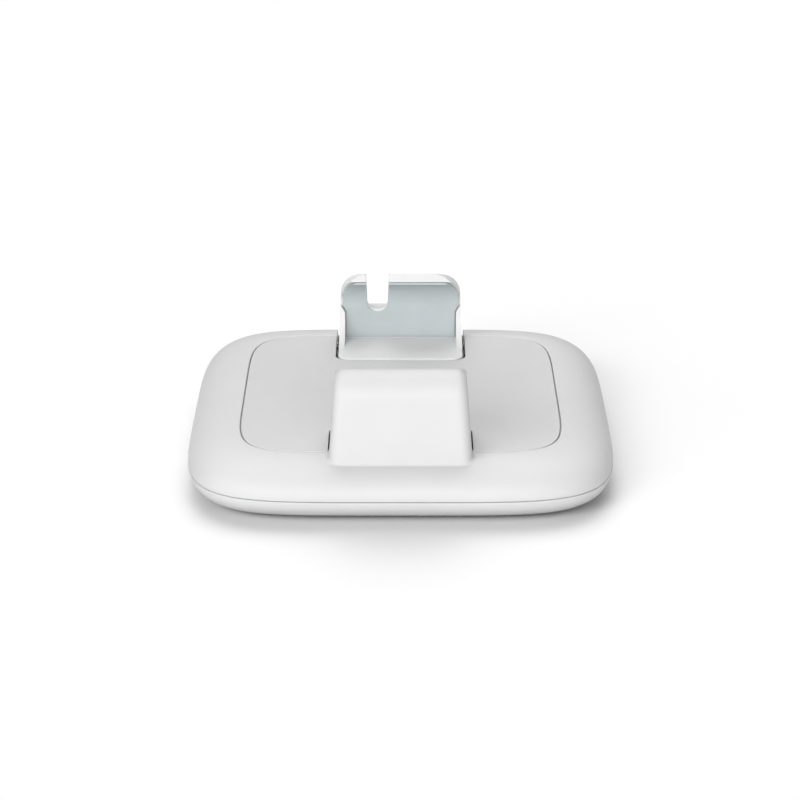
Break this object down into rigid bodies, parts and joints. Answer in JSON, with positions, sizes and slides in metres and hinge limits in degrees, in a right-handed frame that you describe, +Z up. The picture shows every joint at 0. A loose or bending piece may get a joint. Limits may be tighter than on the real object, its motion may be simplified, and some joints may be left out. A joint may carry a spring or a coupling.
{
  "type": "ceiling access point",
  "caption": "Rounded-square white wireless access point lying on its radome, with a tall rounded port tower and a hinged L-shaped mounting bracket with a cable notch.",
  "frame": {"origin": "centre of the flat resting face of the radome", "axes": "+Z up out of the mounting side, +Y from the port tower towards the bracket, +X to the right seen from the tower"},
  "size_m": [0.22, 0.22, 0.0714],
  "materials": {
    "white_shell": "fine moulded texture, satin",
    "white_panel": "fine moulded texture, matte",
    "white_bracket": "satin moulded plastic",
    "coated_steel": "grey coated sheet steel, satin",
    "tape": "foam bonding tape",
    "brass": "machined",
    "screw_steel": "zinc plated",
    "pin_steel": "ground",
    "bush_plastic": "natural acetal",
    "aluminium": "mill finish",
    "circuit_board": "solder mask",
    "chip": "moulded epoxy",
    "thermal_pad": "soft pad",
    "tinned_steel": "tinned sheet",
    "black_plastic": "moulded",
    "gold": "gold flash",
    "grey_button": "satin",
    "led": "epoxy lens",
    "clear_plastic": "polished clear plastic"
  },
  "bodies": {
    "body": {"front_radome": "white_shell", "back_shell": "white_shell", "back_panel": "white_panel", "hinge_bushes": "bush_plastic", "case_inserts": "brass", "case_screws": "screw_steel", "heat_spreader": "aluminium", "board_spacers": "pin_steel", "main_board": "circuit_board", "board_screws": "screw_steel", "processor_chip": "chip", "radio_chips": "chip", "memory_chips": "chip", "thermal_pads": "thermal_pad", "rf_shields": "tinned_steel", "antennas": "tinned_steel", "power_inductors": "chip", "power_capacitors": "aluminium", "board_connector": "black_plastic", "port_spacers": "brass", "port_board": "circuit_board", "port_screws": "screw_steel", "ethernet_jack": "black_plastic", "jack_shield": "tinned_steel", "jack_contacts": "gold", "magnetics": "black_plastic", "reset_switch": "black_plastic", "reset_spring": "pin_steel", "status_led": "led", "light_guide": "clear_plastic"},
    "bracket": {"bracket_frame": "white_bracket", "bracket_rear_cover": "white_bracket", "bracket_liner": "coated_steel", "liner_tape": "tape", "mount_inserts": "brass", "bracket_screws": "screw_steel", "hinge_pins": "pin_steel", "friction_washers": "black_plastic"},
    "button": {"reset_button": "grey_button"}
  },
  "joints": [
    {"name": "bracket_tilt", "type": "hinge", "parent": "body", "child": "bracket", "pos_m": [0, 0.084, 0.0215], "axis": [-1, 0, 0], "range_deg": [0, 90]},
    {"name": "button_press", "type": "slide", "parent": "body", "child": "button", "axis": [0, -1, 0], "range_m": [0, 0.0008], "stiffness_N_per_m": 600, "springref_m": -0.001, "deforming": ["reset_spring"]}
  ]
}
